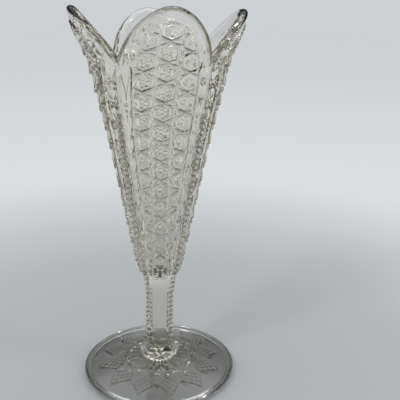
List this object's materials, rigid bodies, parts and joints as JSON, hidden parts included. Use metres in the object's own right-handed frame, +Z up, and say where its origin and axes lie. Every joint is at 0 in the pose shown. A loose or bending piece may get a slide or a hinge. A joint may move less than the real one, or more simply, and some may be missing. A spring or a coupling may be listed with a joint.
{
  "type": "bud vase",
  "caption": "Footed bud vase of clear pressed glass: a square beaded stem opens into a tapering bowl with arched petals, framed panels of hexagonal buttons and a star beneath the foot.",
  "frame": {"origin": "centre of the foot on the table", "axes": "+Z up along the stem, out of the mouth; -Y out of the front petal; +X out of the right petal"},
  "size_m": [0.0876, 0.0876, 0.2],
  "materials": {
    "clear_glass": "clear pressed glass, fire polished, with a faint grey cast"
  },
  "bodies": {
    "root": {"foot": "clear_glass", "foot_star": "clear_glass", "foot_rosette": "clear_glass", "stem": "clear_glass", "bowl": "clear_glass", "button_panel_front": "clear_glass", "button_panel_right": "clear_glass", "button_panel_back": "clear_glass", "button_panel_left": "clear_glass", "panel_border_front": "clear_glass", "panel_border_right": "clear_glass", "panel_border_back": "clear_glass", "panel_border_left": "clear_glass", "stem_beads_front_right": "clear_glass", "stem_beads_back_right": "clear_glass", "stem_beads_back_left": "clear_glass", "stem_beads_front_left": "clear_glass", "bowl_beads_front_right": "clear_glass", "bowl_beads_back_right": "clear_glass", "bowl_beads_back_left": "clear_glass", "bowl_beads_front_left": "clear_glass"}
  },
  "joints": []
}
